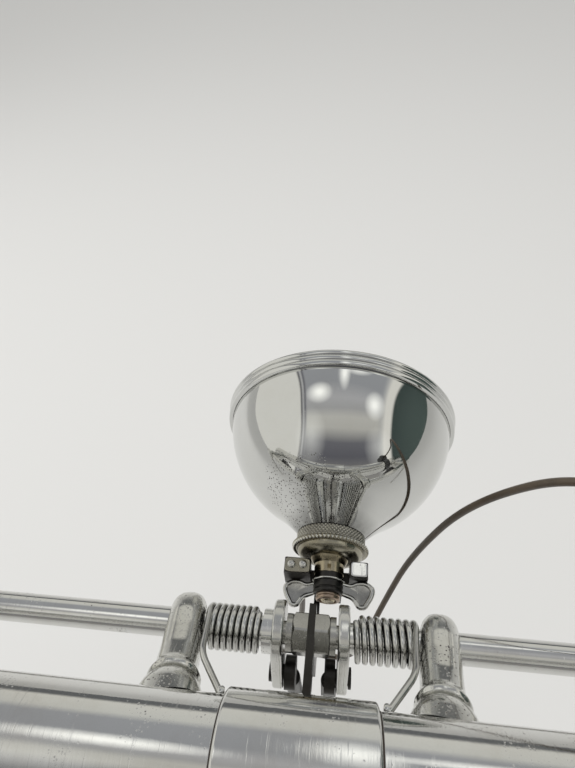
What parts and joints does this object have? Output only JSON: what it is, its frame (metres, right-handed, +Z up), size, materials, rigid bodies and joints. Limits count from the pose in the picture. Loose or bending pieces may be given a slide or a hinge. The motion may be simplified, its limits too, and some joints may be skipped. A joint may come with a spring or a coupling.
{
  "type": "bicycle handlebar with rod brakes and headlamp",
  "caption": "Swept-back bicycle handlebar on a quill stem, with rod-brake levers pivoting in cast posts, pull rods and a round chrome headlamp on a ball joint.",
  "frame": {"origin": "on the stem column's axis, at the line down to which the quill goes into the steering head", "axes": "+X to the rider's right, +Y forward, +Z up along the column"},
  "size_m": [0.5382, 0.3077, 0.2218],
  "materials": {
    "chrome": "polished, lightly worn",
    "cast_chrome": "satin cast",
    "spring_steel": "bright wire",
    "steel": "worn steel",
    "dark_steel": "dulled steel",
    "brass": "tarnished brass",
    "rubber": "matt black rubber",
    "switch_body": "black enamel",
    "cable_sheath": "brown sheath",
    "reflector": "silvered",
    "lens_glass": "clear glass",
    "bulb_glass": "clear glass"
  },
  "bodies": {
    "frame": {"stem": "chrome", "lamp_bracket": "dark_steel", "expander_bolt": "steel", "expander_wedge": "steel", "handlebar": "chrome", "grip_left": "rubber", "grip_right": "rubber", "post_left": "cast_chrome", "post_right": "cast_chrome", "outer_post_left": "cast_chrome", "outer_post_right": "cast_chrome", "spring_left": "spring_steel", "spring_right": "spring_steel", "pivot_stud": "steel", "ball_stem": "brass", "wing_nut": "steel", "lamp_switch": "switch_body", "lamp_cable": "cable_sheath"},
    "left_lever": {"lever_left": "chrome", "arm_left": "chrome"},
    "right_lever": {"lever_right": "chrome", "arm_right": "chrome"},
    "left_pull_rod": {"pull_rod_left": "chrome"},
    "right_pull_rod": {"pull_rod_right": "chrome"},
    "lamp": {"lamp_flange": "steel", "knurled_ring": "steel", "lamp_bowl": "chrome", "lamp_rim": "chrome", "lamp_lens": "lens_glass", "lamp_reflector": "reflector", "lamp_bulb": "bulb_glass"},
    "switch_toggle": {"switch_toggle": "dark_steel"}
  },
  "joints": [
    {"name": "left_lever_hinge", "type": "hinge", "parent": "frame", "child": "left_lever", "pos_m": [0, 0.07798, 0.04735], "axis": [-1, 0, 0], "range_deg": [0, 10], "stiffness_Nm_per_rad": 0.6, "springref_deg": -28.65},
    {"name": "right_lever_hinge", "type": "hinge", "parent": "frame", "child": "right_lever", "pos_m": [0, 0.07798, 0.04735], "axis": [-1, 0, 0], "range_deg": [0, 10], "stiffness_Nm_per_rad": 0.6, "springref_deg": -28.65},
    {"name": "left_pull_rod_hinge", "type": "hinge", "parent": "left_lever", "child": "left_pull_rod", "pos_m": [-0.00865, 0.07012, 0.03613], "axis": [-1, 0, 0], "range_deg": [-10, 0]},
    {"name": "right_pull_rod_hinge", "type": "hinge", "parent": "right_lever", "child": "right_pull_rod", "pos_m": [0.00915, 0.07012, 0.03613], "axis": [-1, 0, 0], "range_deg": [-10, 0]},
    {"name": "lamp_tilt", "type": "hinge", "parent": "frame", "child": "lamp", "pos_m": [0.0042, 0.1103, 0.0263], "axis": [1, 0, 0], "range_deg": [-12, 12]},
    {"name": "switch_toggle_turn", "type": "hinge", "parent": "frame", "child": "switch_toggle", "pos_m": [0.1, 0.048, 0.0931], "axis": [0, 0, 1], "range_deg": [-35, 35]}
  ],
  "couplings": [
    {"joint": "left_pull_rod_hinge", "follows": "left_lever_hinge", "ratio": -1},
    {"joint": "right_pull_rod_hinge", "follows": "right_lever_hinge", "ratio": -1}
  ]
}
